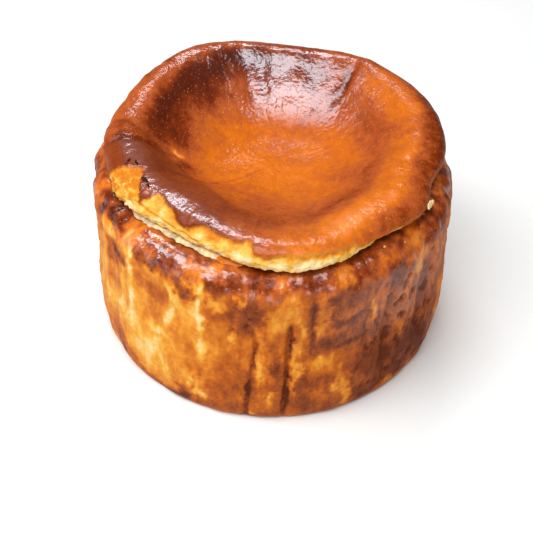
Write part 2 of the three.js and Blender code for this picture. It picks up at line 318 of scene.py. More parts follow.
class Outline:
    """The cake's radii and heights at each angle, from the driving sizes. Each stretch of its
    profile, from `foot` to `hollow`, gives points for t from 0 to 1 along it."""

    def __init__(self, shape):
        self.sizes = {name: getattr(shape, name) / MM for name in shape.__annotations__}
        self.sizes.update(FIXED_SIZES)
        self.middle = self.sizes["shoulder_height"] / 2
        self.creases = CREASES + rest_creases()

    def at(self, name, angle):
        """A size at each angle, with its bulges."""
        return bulged(self.sizes[name], BULGES[name], angle)

    def crease_depth(self, angle, z):
        """Each crease is a bump across its angle, times a smooth start and end up its height."""
        depth = np.zeros(np.broadcast(angle, z).shape)
        for centre, half_width, amount, start, end, lean in self.creases:
            begun = ramp(z, start - CREASE_SOFT, start + CREASE_SOFT)
            ended = ramp(z, end - CREASE_SOFT, end + CREASE_SOFT)
            leaning = centre + lean * (z - self.middle) / self.middle
            depth += amount * near(angle, leaning, half_width) * (begun * (1 - ended))
        return depth

    def wall_radius(self, angle, z):
        """Side radius: the tin's, plus a belly, less a tuck at the foot, bulges and creases."""
        belly = BELLY_DEPTH * bump(z - BELLY_HEIGHT, BELLY_SPREAD)
        tuck = FOOT_TUCK * np.maximum(0.0, 1 - z / FOOT_TUCK_HEIGHT)
        bulge = bulged(0.0, BULGES["wall_radius"], angle) * bump(z - self.middle, self.middle)
        return self.sizes["wall_radius"] + belly - tuck + bulge + self.crease_depth(angle, z)

    def shoulder_height(self, angle):
        """The shoulder's height with its bulges, plus a sine wave for each set of puffs."""
        height = self.at("shoulder_height", angle)
        for count, phase, amount in SHOULDER_PUFFS:
            height = height + amount * np.sin(np.radians(count * angle + phase))
        return height

    def shoulder_start(self, angle):
        """Height at which the shoulder's rounding starts: its top less the rounding's height."""
        return self.shoulder_height(angle) - self.at("shoulder_round", angle)

    def shoulder_crest(self, angle):
        """Radius of the shoulder's top: its rounding's inset in from the side."""
        side = self.wall_radius(angle, self.shoulder_start(angle))
        return side - self.at("shoulder_inset", angle)

    def crest_radius(self, angle):
        """The lip's radius less the crest's inset."""
        return self.at("lip_radius", angle) - self.at("crest_inset", angle)

    def foot(self, angle, t):
        """Quarter circle from the base up to the side."""
        return flared(angle, t, self.wall_radius(angle, 0 * t), FOOT_ROUND, 0, FOOT_ROUND)

    def wall(self, angle, t):
        """Straight up in height, with the side's radius at each height."""
        z = mix(FOOT_ROUND, self.shoulder_start(angle), t)
        return turned(angle, self.wall_radius(angle, z), z)

    def shoulder(self, angle, t):
        """Quarter ellipse from the side in to the shoulder's top."""
        start, crest = self.shoulder_start(angle), self.shoulder_crest(angle)
        side, rise = self.wall_radius(angle, start), self.at("shoulder_round", angle)
        return domed(angle, t, side, crest, start, rise)

    def ledge(self, angle, t):
        """From the shoulder's top in to the crack, falling with t squared."""
        outer, top = self.shoulder_crest(angle), self.shoulder_height(angle)
        return turned(angle, mix(outer, CRACK_RADIUS, t), mix(top, CRACK_FLOOR, t * t))

    def crack(self, angle, t):
        """Half circle that closes the crack at its inner end."""
        turn = t * math.pi
        middle, half = (CRACK_FLOOR + CRACK_ROOF) / 2, (CRACK_ROOF - CRACK_FLOOR) / 2
        radius = CRACK_RADIUS - CRACK_HOLLOW * np.sin(turn)
        return turned(angle, radius, middle - half * np.cos(turn))

    def underside(self, angle, t):
        """Out under the cap, rising with the sine of t to the lip's lower edge."""
        radius = mix(CRACK_RADIUS, self.at("lip_radius", angle) - LIP_TURN, t)
        lift = np.sin(t * math.pi / 2)
        return turned(angle, radius, mix(CRACK_ROOF, self.at("lip_height", angle), lift))

    def lip_face(self, angle, t):
        """Quarter ellipse from the lower edge out to the lip."""
        lip, low = self.at("lip_radius", angle), self.at("lip_height", angle)
        return flared(angle, t, lip, LIP_TURN, low, LIP_FACE)

    def roll(self, angle, t):
        """Quarter of a squarish ellipse from the lip up and in to the crest."""
        lip, start = self.at("lip_radius", angle), self.at("lip_height", angle) + LIP_FACE
        rise = self.at("crest_height", angle) - start
        return domed(angle, t, lip, self.crest_radius(angle), start, rise, 2 / ROLL_POWER)

    def hollow(self, angle, t):
        """Straight in from the crest to the deepest point; the height along it is
        1 - (1 - reach^flat)^ease of the way from floor to crest, less the folds."""
        reach = 1 - t
        crest, turn = self.crest_radius(angle), np.radians(angle)
        rise = 1 - (1 - reach ** self.at("hollow_flat", angle)) ** self.at("hollow_ease", angle)
        fold = np.zeros(np.broadcast(angle, t).shape)
        for centre, half_width, amount, start, end in FOLDS:
            begun, ended = ramp(reach, start - 0.1, start + 0.1), ramp(reach, end - 0.1, end + 0.05)
            fold += amount * near(angle, centre, half_width) * (begun * (1 - ended))
        return np.stack(np.broadcast_arrays(
            mix(HOLLOW_X, crest * np.cos(turn), reach), mix(HOLLOW_Y, crest * np.sin(turn), reach),
            mix(self.sizes["hollow_floor"], self.at("crest_height", angle), rise) - fold), axis=-1)


# The profile's stretches, from the base out and up and in: (name, bands).
STRETCHES = (
    ("foot", 3), ("wall", 64), ("shoulder", 20), ("ledge", 5), ("crack", 3), ("underside", 4),
    ("lip_face", 7), ("roll", 30), ("hollow", 44),
)
FRONT_CROWDING = 0.48  # how much closer together the columns stand at the front
FACE_SHARE = 0.22  # the lip's face, as a part of the way over the lip to the crest


class Skin:
    """The cake's whole skin as one grid: a row for each step along the profile, a column for each
    angle, with the stretch and the part of it that each row belongs to."""

    def __init__(self, outline, columns):
        u = np.arange(columns) / columns
        crowded = u - FRONT_CROWDING * np.sin(2 * np.pi * u) / (2 * np.pi)
        self.angle = FRONT + 360 * crowded[None, :]
        rows, names, parts = [], [], []
        for name, bands in STRETCHES:
            t = (np.arange(bands) + (0 if name == "foot" else 1)) / bands
            if name == "hollow":
                t = (np.arange(bands) + 1) / (bands + 1)
            rows.append(getattr(outline, name)(self.angle, t[:, None]))
            names += [name] * len(t)
            parts.append(t)
        self.points = np.concatenate(rows)
        self.name = np.array(names)
        self.part = np.concatenate(parts)
        self.outline = outline
        self.x, self.y, self.z = np.moveaxis(self.points, -1, 0)
        # Two columns: reach is 0 at the hollow's deepest point, 1 at the rim's crest and 2 at the
        # lip; lip_way is the part of the way up the lip's face and over the roll to the crest.
        face, roll = self.along("lip_face"), self.along("roll")
        self.reach = 2 - self.along("hollow") - roll
        self.lip_way = face * FACE_SHARE + roll * (1 - FACE_SHARE)

    def rows(self, *names):
        """1 on the rows of these stretches and 0 elsewhere, as a column to multiply by."""
        return np.isin(self.name, names).astype(float)[:, None]

    def along(self, name):
        """The part of the way along one stretch: 0 on all rows before it, 1 after it."""
        at = np.flatnonzero(self.name == name)
        value = np.where(np.arange(len(self.name)) > at[-1], 1.0, 0.0)
        value[at] = self.part[at]
        return value[:, None]

    def cloud(self, size, seed, octaves=4, fade=0.5):
        """Layers of noise at the skin's own points."""
        return cloud(self.points, size, seed, octaves, fade)

    def near(self, centre, half_width):
        """A bump round an angle, as a row to multiply by."""
        return near(self.angle, centre, half_width)

    def unrolled_cloud(self, centre, size, seed, octaves, fade=0.5):
        """Noise on (arc length from an angle, distance from the axis, height), so that it can be
        stretched round the cake or towards its middle."""
        arc = np.radians(turn_from(self.angle, centre)) * self.outline.sizes["lip_radius"]
        away = np.hypot(self.x, self.y)
        place = np.stack([np.broadcast_to(arc, away.shape), away, self.z], axis=-1)
        return cloud(place, size, seed, octaves, fade)

    def on_roll(self):
        """1 on the dark left roll: where y is below that of the roll's inner edge at this x."""
        ragged = 1.6 * self.cloud(5, 23, 3)
        share = ramp(np.interp(self.x, *zip(*ROLL_EDGE)) - self.y + ragged, -3.0, 4.0)
        return share * (1 - ramp(self.x + 2 * ragged, -30, 10)) * self.rows("roll", "hollow")

    def normals(self):
        """Cross product of the differences along the columns and along the rows."""
        round_way = np.roll(self.points, -1, axis=1) - np.roll(self.points, 1, axis=1)
        across = np.cross(round_way, np.gradient(self.points, axis=0))
        return across / np.maximum(np.linalg.norm(across, axis=-1, keepdims=True), 1e-9)


# -------- where the skin is browned, and where shade and light are painted on it
# How baked a place looks runs from 0, pale, to 1, burnt, and every amount below is added to it;
# some amounts are painted shade and some painted light, as marked.

# Round the side: (angle, half width in degrees, amount).
SIDE_LEVEL = 0.50
SIDE_TREND = ((-138, 30, -0.14), (-50, 38, 0.13), (-96, 14, 0.03))
# Patches on the side: (angle, height, half width in degrees, half height in mm, amount).
SIDE_PATCHES = (
    # golden and pale
    (-147, 69, 7, 2.4, -0.3), (-139, 74, 2.2, 5, -0.26), (-128, 66.5, 7, 4, -0.2),
    (-119.5, 64.5, 1.8, 4, -0.28), (-113, 72, 2.6, 4, -0.30), (-111.6, 56, 2.5, 7, -0.28),
    (-106, 65, 2.0, 3.4, -0.24), (-98, 67.5, 1.4, 2.8, -0.4), (-85.5, 62, 4.5, 8, -0.28),
    # The pale spot at -87 degrees, 74.5 mm up on the shoulder, is partly a painted highlight.
    (-117.5, 59, 3, 4, -0.16), (-87, 74.5, 2, 3, -0.34), (-66, 74, 2.2, 5, -0.36),
    (-36, 75, 3.5, 3, -0.3), (-101, 47, 1.4, 4, -0.3), (-127, 37, 3.2, 2.6, -0.2),
    (-130, 23, 9, 16, -0.22), (-140, 36, 6, 6, -0.12), (-124.5, 20, 2, 8, -0.1),
    (-117, 46, 5, 8, -0.1), (-150, 33, 6, 6, -0.18), (-112.5, 9, 3.6, 2.8, -0.42),
    (-114.5, 15, 1.4, 4, -0.24), (-93.4, 33, 1.1, 6, -0.2), (-89.5, 15.5, 1.6, 4, -0.34),
    (-96, 3.5, 1.6, 2, -0.3), (-82, 32, 1.3, 15, -0.3), (-74.5, 58, 2, 12, -0.2),
    (-75, 34, 4.5, 3.5, -0.24), (-66.5, 17, 2.4, 7, -0.36), (-66, 7, 2.2, 5, -0.32),
    (-57.5, 57, 1.7, 4.5, -0.34), (-38.5, 66, 4, 7, -0.36), (-47, 6, 3.5, 3, -0.26),
    (-133, 48, 5, 10, -0.1), (-92, 50, 2, 5, -0.2), (-50, 75, 3, 2.5, -0.16),
    (-125, 76, 3, 3, -0.1), (-107, 76, 2, 2.5, -0.2),
    # dark
    (-153, 75, 9, 3.5, 0.26), (-146, 62, 6, 4, 0.32), (-151, 55, 4, 4, 0.26),
    (-127, 72, 9, 2.8, 0.3), (-116, 66, 2, 6, 0.28), (-106, 71, 4.5, 2.8, 0.28),
    (-100, 59, 6, 6, 0.16), (-95, 61, 4.5, 9, 0.13), (-98, 53, 6, 4, 0.1), (-125, 57, 4, 5, 0.05),
    (-147, 17, 7, 7, 0.2), (-143, 8, 6, 5, 0.22), (-118, 6, 3.0, 6, 0.4),
    (-126, 2, 14, 3.4, 0.34), (-105, 4, 8, 4, 0.16), (-112, 44, 2, 5, 0.12),
    (-102, 18, 6, 12, 0.16), (-88, 32, 2.4, 15, 0.18), (-66.5, 54.5, 5.5, 2.2, 0.36),
    (-68, 64, 7, 6, 0.12), (-65, 42, 4, 1.2, 0.2), (-108, 31, 4, 2, 0.1), (-131, 56, 4, 5, 0.08),
    (-67, 46, 7, 6, 0.18), (-73, 24, 5, 4, 0.2), (-74, 6, 5, 5, 0.16), (-55, 25, 6, 8, 0.2),
    (-42, 18, 12, 12, 0.3), (-56, 8, 8, 6, 0.26), (-30, 24, 10, 20, 0.2), (-48, 67, 4, 6, 0.2),
    (-52, 42, 6, 8, 0.14), (-33, 50, 5, 12, 0.12), (-93, 74, 3, 3, 0.12), (-76, 73, 4, 3, 0.14),
    (-57, 73, 4, 3, 0.04), (-88, 4, 6, 4, 0.12), (-74, 43, 5, 5, 0.22), (-72, 63, 3, 5, 0.1),
    (-92.5, 20, 3, 8, 0.1), (-79, 20, 3, 12, 0.1), (-58, 34, 4, 6, 0.12),
)
# Streaks: (angle at mid height, lean, half width, from z, to z, amount). The dark streaks at
# -94.4, -83.9, -77.2 and -60 degrees lie in grooves of CREASES and are painted shade there.
SIDE_STREAKS = (
    (-137.2, 0.6, 0.9, 38, 76, -0.3), (-125.8, 13, 1.4, 42, 60, -0.32),
    (-110.8, -0.2, 1.0, 34, 76, -0.34), (-80.3, 0.3, 0.8, 44, 70, -0.26),
    (-29.5, 0.5, 0.7, 50, 74, -0.2), (-92.5, 0.5, 0.8, 20, 48, -0.12),
    (-94.4, 2.8, 0.5, 3, 46, 0.42), (-83.9, 0.9, 0.5, 4, 57, 0.4),
    (-77.2, 0.6, 0.9, 46, 66, 0.32), (-60.0, 0.0, 0.7, 40, 54, 0.3), (-158, 0, 1.3, 70, 84, 0.34),
    (-152, 0, 1.2, 70, 84, 0.36), (-146, 0, 1.1, 70, 84, 0.32), (-155, 0, 1.1, 70, 84, -0.16),
    (-149, 0, 1.1, 70, 84, -0.16), (-143, 0, 1.2, 70, 84, -0.2), (-88, 1.5, 1.2, 22, 48, 0.12),
)

# How far up the lip and roll the skin is torn away: (angle, share of the way).
TEAR = (
    (-166, 0), (-163.5, 0.45), (-161, 0.78), (-157, 1.0), (-153, 0.97), (-149, 0.8), (-145, 0.6),
    (-142.5, 0.46), (-140, 0.85), (-137, 0.82), (-133, 0.78), (-129, 0.7), (-125, 0.52),
    (-120.5, 0.5), (-118, 0.68), (-115, 0.78), (-110, 0.76), (-105, 0.7), (-101, 0.74),
    (-97.5, 0.9), (-95.5, 0.56), (-92, 0.5), (-88, 0.6), (-80, 0.62), (-72, 0.58), (-66, 0.54),
    (-62, 0.48), (-60, 0.36), (-55, 0.28), (-50, 0.24), (-46, 0.32), (-40, 0.16), (-31, 0.2),
    (-24, 0),
)
# The edge of the layer that has split off below the tear, in the same way.
SPLIT = ((-144, 0.46), (-136, 0.41), (-130, 0.38), (-124, 0.3), (-116, 0.24))

# Patches on the top: (x, y, half size in mm, amount). Besides browning they hold painted shade:
# the darker left and back left of the hollow, the darker slope at the front, and the dark spot
# below the pale dimple.
TOP_PATCHES = (
    (0, 10, 28, -0.09), (-42, 20, 8, 0.14), (-38, 13, 4, 0.14), (-54, -12, 14, 0.18),
    (-40, -32, 14, 0.18), (-22, -46, 12, 0.15), (0, -30, 18, 0.1), (-24, -12, 8, 0.05),
    (26, -47, 9, -0.2), (-27, 42, 7, 0.22), (-41, 8.5, 1.3, -0.8), (-39, 7.5, 1.1, -0.6),
    (-36, 3, 3.5, 0.2), (16, 46, 12, 0.16), (-8, 50, 10, 0.12),
)
# Bands round the top: (angle, half width in degrees, reach, half width of the reach, amount).
# Some are painted shade: a dark band along the rim's inner edge at the back left, darker slopes
# just inside the rim at the front and right, and a dark line in the fold at 55 degrees. Some are
# partly painted light: a lighter crest at the front and right. The rest brown the back wall and
# darken the rim's outer side.
TOP_BANDS = (
    (144, 28, 0.83, 0.065, 0.40), (150, 26, 0.74, 0.12, 0.16), (110, 16, 0.88, 0.07, 0.30),
    (8, 40, 1.4, 0.28, 0.12), (0, 20, 1.14, 0.14, 0.16), (-50, 16, 1.6, 0.3, 0.10),
    (170, 22, 1.08, 0.16, 0.12), (126, 12, 0.84, 0.07, 0.16), (84, 26, 0.84, 0.14, 0.16),
    (55, 4, 0.84, 0.12, 0.3), (2, 34, 0.74, 0.12, 0.12), (-50, 30, 0.76, 0.10, 0.18),
    (-88, 26, 0.80, 0.10, 0.14), (-20, 44, 1.06, 0.16, -0.18), (30, 26, 0.90, 0.12, -0.1),
    (-60, 20, 1.15, 0.2, -0.14), (0, 45, 1.75, 0.4, 0.26), (70, 50, 1.3, 0.5, 0.16),
    (145, 45, 1.4, 0.5, 0.1),
)
TORN_PATCHES = (
    (-156, 9, 0.46), (-130, 18, 0.14), (-108, 13, 0.15), (-84, 8, -0.04), (-50, 12, 0.3),
    (-32, 8, 0.3),
)
FLAKY_ANGLE, FLAKY_SPREAD = -146, 9
CHAR_SPOTS = ((-58, -19, 1.2), (-55, -21, 0.9), (-50, -29, 1.0), (-48, -32, 0.9), (-45, -35, 0.7))


def side_browning_and_shade(skin):
    """How baked the side looks: a trend round it, plus clouds, plus patches and streaks whose
    outlines are pushed about by clouds 12 mm and 3 mm across; the shoulder is darker, partly as
    painted shade under the cap's lip. The creases' grooves are painted darker as shade and their
    ridges lighter as painted light, and the pits are darker, partly as painted shade. Away from the
    camera's view the clouds run down the side."""
    angle, z, middle = skin.angle, skin.z, skin.outline.middle
    push, lift = (4.0 * skin.cloud((12, 12, 14), seed, 2) for seed in (31, 33))
    fray, tatter = (3.2 * skin.cloud((3, 3, 4), seed, 3, fade=0.75) for seed in (35, 38))
    level = SIDE_LEVEL + 0.4 * skin.cloud((13, 13, 18), 41, 5, fade=0.65)
    level += 0.24 * skin.cloud((4, 4, 7), 45, 3, fade=0.6)
    run_down = 0.45 * skin.cloud((6, 6, 34), 163, 3, fade=0.7) + 0.2 * ramp(z, 58, 72)
    calmer = SIDE_LEVEL + 0.7 * (level - SIDE_LEVEL)
    level = mix(level + run_down, calmer, skin.near(-92, 75))
    level += bulged(0.0, SIDE_TREND, angle)
    level -= 0.12 * paper_veins(skin)
    turn, height = angle + push + fray, z + lift + tatter
    for centre, at, wide, tall, amount in SIDE_PATCHES:
        away = np.hypot(turn_from(turn, centre) / wide, (height - at) / tall)
        level += amount * (1 - ramp(away, 0.3, 1.5))
    swell = 1 + 0.9 * skin.cloud((6, 6, 7), 48, 2)
    patchy = np.clip(0.7 + 1.5 * skin.cloud((5, 5, 9), 50, 3), 0.0, 1.2)
    for centre, lean, wide, start, end, amount in SIDE_STREAKS:
        line = turn_from(angle + 0.3 * push + 0.6 * fray, centre + lean * (z - middle) / middle)
        along = ramp(z, start - 6, start + 6) * (1 - ramp(z, end - 4, end + 4)) * patchy
        level += amount * (1 - ramp(np.abs(line) / (wide * swell), 0.0, 1.9)) * along
    # Painted shade and light: darker in the grooves of the creases, lighter on their ridges.
    crease_shade = ramp(-skin.outline.crease_depth(angle, z), -2, 2) - 0.5
    # Partly painted shade: the top of the shoulder, just under the cap's lip, is darker.
    level += 0.12 * ramp(height, 69, 73) * skin.near(-98, 36)
    level += 0.16 * ramp(z, 74.5, 77) * skin.near(-125, 22)
    level += 0.3 * skin.cloud((4, 4, 5), 167, 2) * ramp(z, 66, 71)
    level += 0.14 * bump(height - 63, 5) * skin.near(-120, 30)
    # The pits are darker: partly their own colour, partly painted shade.
    return level + 0.24 * crease_shade + 0.3 * pitted_share(skin)


def pitted_share(skin):
    """1 in the side's small pits, which are thickest at the right of the front."""
    share = skin.near(-42, 20) + 0.5 * skin.near(150, 60)
    share = share + 0.6 * skin.near(-97, 5) * ramp(skin.z, 38, 60)
    return ramp(skin.cloud((3.0, 3.0, 4.5), 88, 2), 0.16, 0.4) * share * skin.rows("wall")


def paper_veins(skin):
    """Folds of the crumpled baking paper, printed on the side as thin upright lines: 1 where a
    stretched noise is near 0, in patches."""
    lines = 1 - ramp(np.abs(skin.cloud((9, 9, 22), 105, 3, fade=0.6)), 0.02, 0.16)
    return lines * ramp(skin.cloud(14, 108, 2), -0.1, 0.4) * skin.rows("wall")


def top_browning_and_shade(skin):
    """How baked the top looks: clouds, plus patches and bands whose outlines clouds push about, and
    less near the tear at the front right. Some patches and bands are painted shade and painted
    light, and the pinch's groove is painted darker as shade."""
    push, lift = (4.0 * skin.cloud(11, seed, 3, fade=0.6) for seed in (52, 55))
    level = 0.53 + 0.14 * skin.cloud(18, 58, 3) + 0.12 * skin.cloud(4, 61, 3)
    for x, y, size, amount in TOP_PATCHES:
        warp = min(1.0, size / 8)
        away = np.hypot(skin.x - x + warp * push, skin.y - y + warp * lift)
        level += amount * bump(away, size)
    for centre, wide, at, deep, amount in TOP_BANDS:
        across = bump(skin.reach + 0.02 * lift - at, deep)
        level += amount * near(skin.angle + push, centre, wide) * across
    level += 0.10 * skin.on_roll() + 0.6 * flaky_share(skin) * skin.cloud(2.4, 75, 3)
    above_tear = skin.lip_way - tear_edge(skin)
    level += 0.26 * bump(above_tear - 0.02, 0.05) * skin.near(-125, 34)
    # Painted shade: darker along the pinch's groove.
    level += 0.16 * bump(path_distance(skin.x, skin.y, PINCH_PATH), 3.5)
    return level - 0.16 * bump(above_tear, 0.12) * skin.near(-72, 24)


def flaky_share(skin):
    """1 where the roll's skin is flaking, beside the tear at the front left."""
    height = ramp(skin.lip_way, 0.4, 0.55) * (1 - ramp(skin.lip_way, 0.86, 0.97))
    return height * skin.near(FLAKY_ANGLE, FLAKY_SPREAD)


def tear_edge(skin):
    """How far up the lip and roll the tear's edge is: a share that changes round the cake, with
    a ragged line."""
    edge = np.interp(turn_from(skin.angle, 0), *zip(*TEAR))
    ragged = 0.11 * skin.cloud(4, 64, 4, fade=0.7)
    return np.maximum(edge + ragged * ramp(edge, 0.02, 0.25), 0.01)


def torn_share(skin):
    """(torn, hem): torn is 1 where the skin is torn off the lip, hem is a bump along the skin's
    side of the tear."""
    above, lip = skin.lip_way - tear_edge(skin), skin.rows("lip_face", "roll")
    soft = 0.02 + 0.07 * skin.near(-74, 18)
    torn = np.maximum(lip * ramp(-above / soft, -1, 1), skin.rows("underside", "crack"))
    return torn, lip * bump(above - 0.045, 0.04) * ramp(tear_edge(skin), 0.1, 0.3)


def torn_browning(skin):
    """How baked the torn custard is: pale below, honey-coloured near the skin, more of it at the
    front right, and in patches."""
    way, share = skin.lip_way, skin.lip_way / tear_edge(skin)
    level = 0.27 + 0.22 * ramp(share, 0.45, 0.9)
    level += bulged(0.0, TORN_PATCHES, skin.angle) * ramp(way, 0.06, 0.3)
    level += 0.4 * ramp(share, 0.6, 1.0) * skin.near(-72, 24)
    level += 0.3 * bump(way - split_edge(skin), 0.03) + 0.2 * ramp(share, 0.85, 1.0)
    level += 0.6 * skin.cloud((5, 5, 7), 68, 4, fade=0.6)
    crumbs = 0.9 * skin.cloud(2.6, 155, 3, fade=0.7) * skin.near(-154, 12)
    return np.clip(level + crumbs, 0.16, 0.86)


def split_edge(skin):
    """How far up the lip the edge of the split-off layer is; far below it away from the split."""
    angle = turn_from(skin.angle, 0)
    elsewhere = (angle < SPLIT[0][0]) | (angle > SPLIT[-1][0])
    return np.interp(angle, *zip(*SPLIT)) - 9.0 * elsewhere + 0.05 * skin.cloud(5, 144, 3)


def char_share(skin):
    """1 in the scorched spots, which have a ragged outline."""
    ragged = 1.6 * skin.cloud(2.5, 72, 3)
    share = np.zeros(skin.x.shape)
    for x, y, size in CHAR_SPOTS:
        away = np.hypot(skin.x - x, skin.y - y) / size
        share = np.maximum(share, ramp(1.0 - away + ragged, 0, 0.5))
    return share * skin.rows("roll", "hollow")


def side_relief(skin, brown_and_shade):
    """Fine height of the side, in mm: crinkles, wrinkles, the paper's folds and pits, which give
    way to puffs near the shoulder."""
    folded = 0.25 - np.abs(skin.cloud((10, 10, 16), 151, 2, fade=0.4))
    crinkle = 0.8 * skin.cloud((6, 6, 10), 81, 3, fade=0.55) + 1.1 * folded
    wrinkle = -0.6 * np.abs(skin.cloud((3.8, 3.8, 12), 85, 2)) ** 0.8
    scorched = 0.25 * (ramp(brown_and_shade, 0.35, 0.7) - 0.5)
    marks = 0.3 * paper_veins(skin) - 1.4 * pitted_share(skin)
    near_top = ramp(skin.z, 62, 70)
    puffs = skin.cloud((6, 6, 8), 91, 2, fade=0.4) * (1 - ramp(skin.z, 74, 77))
    puffs += 0.7 * skin.near(-155, 16) * skin.cloud((3.2, 3.2, 9), 147, 2)
    side = (crinkle + wrinkle + scorched + marks) * (1 - 0.7 * near_top) + puffs * near_top
    return side * skin.along("wall") ** 0.25


def top_relief(skin):
    """Fine height of the top, in mm: clouds, a rim that is lumpy at the back left and creased
    down its outer side at the right, dents, the roll's step, the pinch and wrinkles."""
    reach, on_roll = skin.reach, skin.on_roll()
    top = 0.5 * skin.cloud(24, 94, 2) + 0.35 * skin.cloud(8, 97, 3, fade=0.45)
    lumpy = skin.near(145, 34) * ramp(reach, 0.75, 0.95)
    top += 0.7 * lumpy * skin.cloud(6, 133, 2)
    creased = skin.near(-12, 30) * ramp(reach, 1.1, 1.5)
    top += 0.5 * creased * skin.unrolled_cloud(0, (2.6, 14, 14), 136, 2)
    for x, y, size, height in DENTS:
        top += height * bump(np.hypot(skin.x - x, skin.y - y), size)
    pinch = bump(path_distance(skin.x, skin.y, PINCH_PATH), PINCH_WIDTH)
    top += ROLL_STEP * on_roll - PINCH_DEPTH * pinch
    # Wrinkles that run across the roll, and others that run down the back of the hollow.
    across = skin.unrolled_cloud(-130, (2.8, 9, 9), 121, 2)
    top += 0.25 * on_roll * ramp(reach, 0.6, 0.85) * skin.near(-124, 26) * across
    down_back = skin.near(80, 34) * skin.rows("hollow") * (1 - ramp(skin.along("hollow"), 0.3, 0.7))
    fan = skin.unrolled_cloud(90, (5, 20, 20), 124, 3, fade=0.45)
    top += down_back * (0.6 * fan + 0.5 * skin.cloud(7, 129, 2))
    return top + 1.0 * flaky_share(skin) * skin.cloud(2.2, 127, 2)


def relief(skin, brown_and_shade, torn, hem):
    """Fine height over the form, in mm: the side's, the top's, and crumbly custard that lies lower
    where the skin is torn."""
    crumbly = skin.cloud((4.5, 4.5, 3.4), 101, 4, fade=0.6)
    crumbly = crumbly + 0.9 * skin.cloud(2.4, 157, 2) * skin.near(-152, 16)
    open_custard = torn * (-0.6 + 1.7 * crumbly - 0.6 * bump(skin.lip_way - split_edge(skin), 0.03))
    on_side, on_top = skin.rows("wall", "shoulder", "ledge"), skin.rows("roll", "hollow")
    closed = on_side * side_relief(skin, brown_and_shade) + on_top * top_relief(skin) * (1 - 0.6 * torn)
    return closed + 0.1 * hem + (1 - on_side) * open_custard


class Cake:
    """The finished skin: the outline's grid with its browning and its painted shade and light, its
    tear and its relief. Every point is moved with the outline's middle onto the frame's, and kept
    inside the frame."""

    def __init__(self, shape):
        self.outline = Outline(shape)
        self.skin = skin = Skin(self.outline, shape.columns)
        torn, hem = torn_share(skin)
        on_top = np.broadcast_to(skin.rows("roll", "hollow", "lip_face"), torn.shape)
        brown_and_shade = mix(side_browning_and_shade(skin), top_browning_and_shade(skin), on_top)
        flat = skin.points.reshape(-1, 3)
        self.shift = (np.array(CAD_LOW) + np.array(CAD_HIGH)) / 2 / MM
        self.shift -= (flat.min(axis=0) + flat.max(axis=0)) / 2
        self.shift[2] = 0
        height = relief(skin, brown_and_shade, torn, hem)[..., None]
        self.points = self.inside(skin.points + skin.normals() * height + self.shift)
        self.fields = {
            "browning": np.clip(mix(brown_and_shade, torn_browning(skin), torn), 0, 1), "torn": torn,
            "char": char_share(skin), "top": on_top, "rolled": skin.on_roll(),
        }
        self.fields["glaze"] = self.glaze(hem)
        self.fields["top"] = np.maximum(on_top, 0.8 * self.on_shoulder())
        closed = np.where(self.fields["rolled"] > 0.5, 3, self.fields["top"] > 0.6)
        self.finish = np.where(torn > 0.5, 2, closed)  # which of FINISHES each point has

    def on_shoulder(self):
        """1 on the shoulder, down to a ragged line, where fat has run out of the cap."""
        line = self.outline.shoulder_height(self.skin.angle) - 6
        ragged = 3 * self.skin.cloud((6, 6, 8), 141, 3)
        share = ramp(self.points[..., 2] + ragged, line - 1.5, line + 1.5)
        return share * self.skin.rows("wall", "shoulder", "ledge")

    def glaze(self, hem):
        """How much butterfat has fried onto each point: most at the back of the hollow, less on
        its floor, over the rim, on the roll and on the shoulder, and little on the side and the
        tear."""
        skin, reach = self.skin, self.skin.reach
        beaded = skin.cloud(4, 153, 2) + 0.3 * skin.near(-128, 16)
        run_out = 0.1 + (0.5 + 0.4 * skin.near(-126, 14)) * ramp(beaded, -0.12, 0.22)
        wet = 0.05 + 0.42 * skin.near(-47, 22) * ramp(self.points[..., 2], 32, 52)
        back = 0.3 + 0.7 * skin.near(86, 44)
        top = mix(0.12, back, ramp(reach, 0.42, 0.64)) * mix(1.0, 0.4, ramp(reach, 1.05, 1.5))
        top = top * (1 - 0.85 * skin.near(22, 42) * bump(reach - 1.05, 0.22))
        share = mix(mix(wet, run_out, self.on_shoulder()), top, self.fields["top"])
        rolled = self.fields["rolled"] * ramp(reach, 0.9, 1.0)
        share = mix(share, mix(0.1, 1.0, ramp(skin.lip_way, 0.68, 0.84)), rolled)
        share = mix(share * (1 - 0.7 * hem), 0.06, self.fields["torn"])
        return share * (1 - self.fields["char"])

    @staticmethod
    def inside(points):
        """Points kept inside the frame's box."""
        return np.clip(points, np.array(CAD_LOW) / MM, np.array(CAD_HIGH) / MM)

    def spot(self, stretch, t, angle):
        """The finished skin's point nearest to a place on a stretch."""
        rows = np.flatnonzero(self.skin.name == stretch)
        row = rows[np.argmin(np.abs(self.skin.part[rows] - t))]
        return self.points[row, np.argmin(np.abs(turn_from(self.skin.angle, angle)))]


CAKES = {}


def finished_cake(context):
    """The cake for the scene's sizes, worked out once for all its pieces."""
    shape = context.scene.cake_shape
    key = tuple(getattr(shape, name) for name in shape.__annotations__)
    if key not in CAKES:
        CAKES.clear()
        CAKES[key] = Cake(shape)
    return CAKES[key]


# -------- meshes


